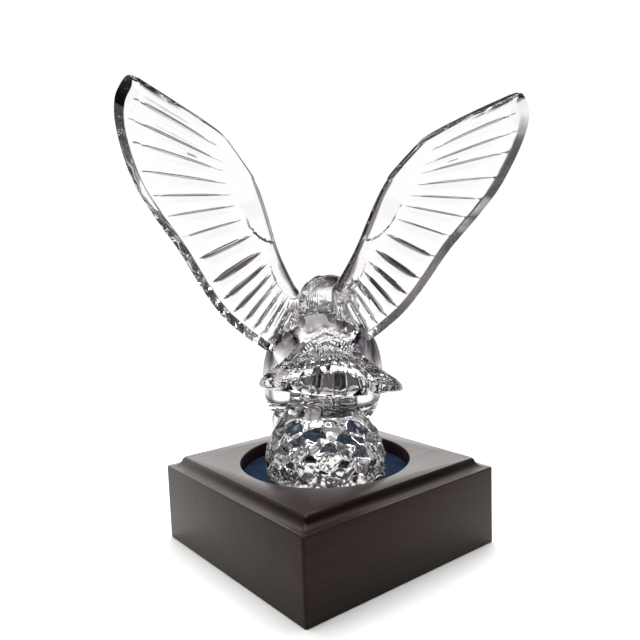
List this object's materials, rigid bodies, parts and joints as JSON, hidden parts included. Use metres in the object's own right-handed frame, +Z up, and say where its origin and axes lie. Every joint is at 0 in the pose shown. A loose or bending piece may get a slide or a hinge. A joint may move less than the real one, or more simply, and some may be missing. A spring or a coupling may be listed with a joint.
{
  "type": "crystal eagle figurine",
  "caption": "Clear crystal eagle with raised wings on a hammered rock, standing in the felt-lined round recess of a square dark wooden base.",
  "frame": {"origin": "middle of the wooden base's underside", "axes": "+Z up; -Y is the way the eagle faces, to within 26 degrees, with its tail towards +Y; X and Y lie along the sides of the square base"},
  "size_m": [0.1685, 0.136, 0.2266],
  "materials": {
    "stained_wood": "dark stained hardwood, satin lacquer",
    "blue_felt": "short blue felt",
    "lead_crystal": "clear polished crystal"
  },
  "bodies": {
    "root": {"wood_base": "stained_wood", "recess_felt": "blue_felt", "crystal_eagle": "lead_crystal"}
  },
  "joints": []
}
